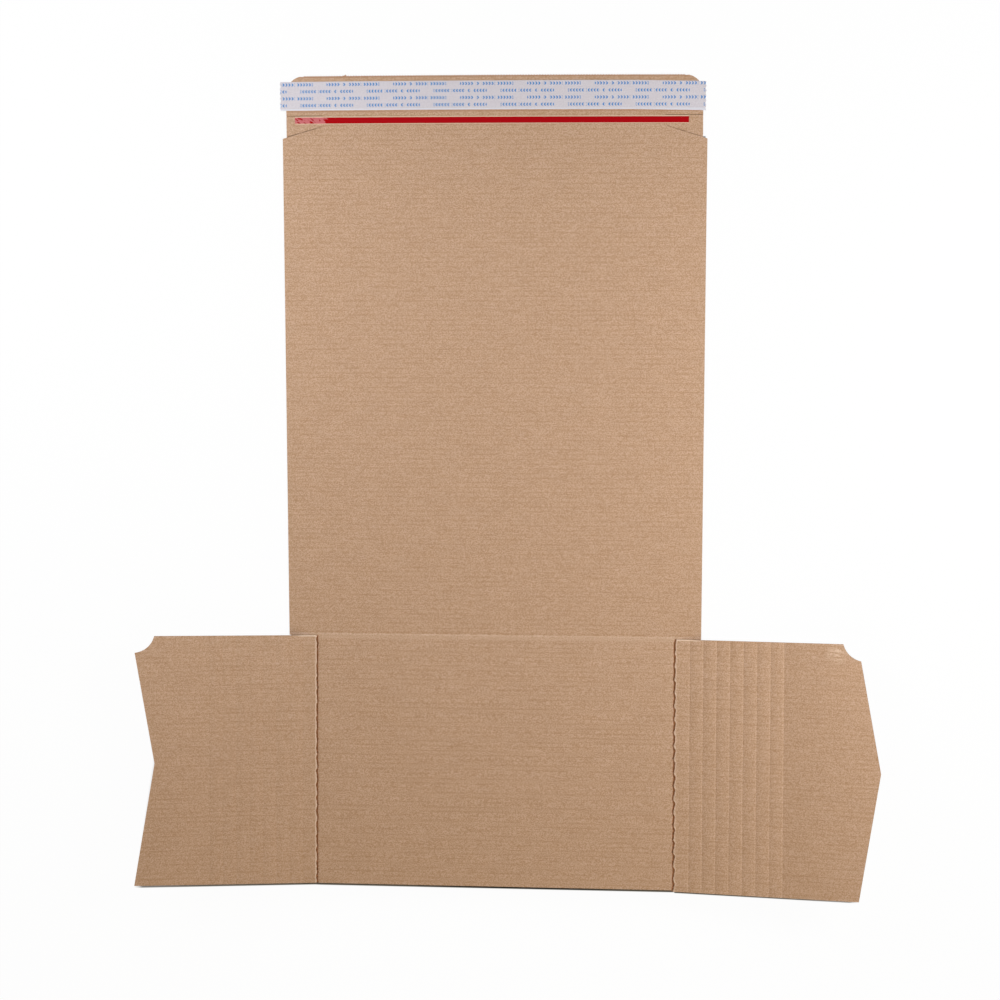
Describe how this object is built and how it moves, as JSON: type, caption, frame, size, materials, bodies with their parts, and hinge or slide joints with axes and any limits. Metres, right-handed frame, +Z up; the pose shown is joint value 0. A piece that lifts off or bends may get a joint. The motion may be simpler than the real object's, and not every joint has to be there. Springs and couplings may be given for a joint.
{
  "type": "book wrap mailer",
  "caption": "Open book wrap mailer: a die-cut corrugated sheet with a base panel, creased side flaps and a long wrap panel, closed by a peel-and-seal strip and opened by a tear strip.",
  "frame": {"origin": "centre of the wrap panel's underside, the face the open sheet lies on", "axes": "+Z up out of the inside face, +Y along the wrap panel from the main crease to the lead edge, +X across the sheet"},
  "size_m": [0.555, 0.6039, 0.0412],
  "materials": {
    "kraft_board": "uncoated brown kraft",
    "adhesive": "clear tacky film",
    "liner_paper": "silicone-coated, satin",
    "tear_tape": "glossy film"
  },
  "bodies": {
    "root": {"board": "kraft_board", "adhesive_strip": "adhesive", "release_liner": "liner_paper", "tear_strip": "tear_tape"}
  },
  "joints": []
}
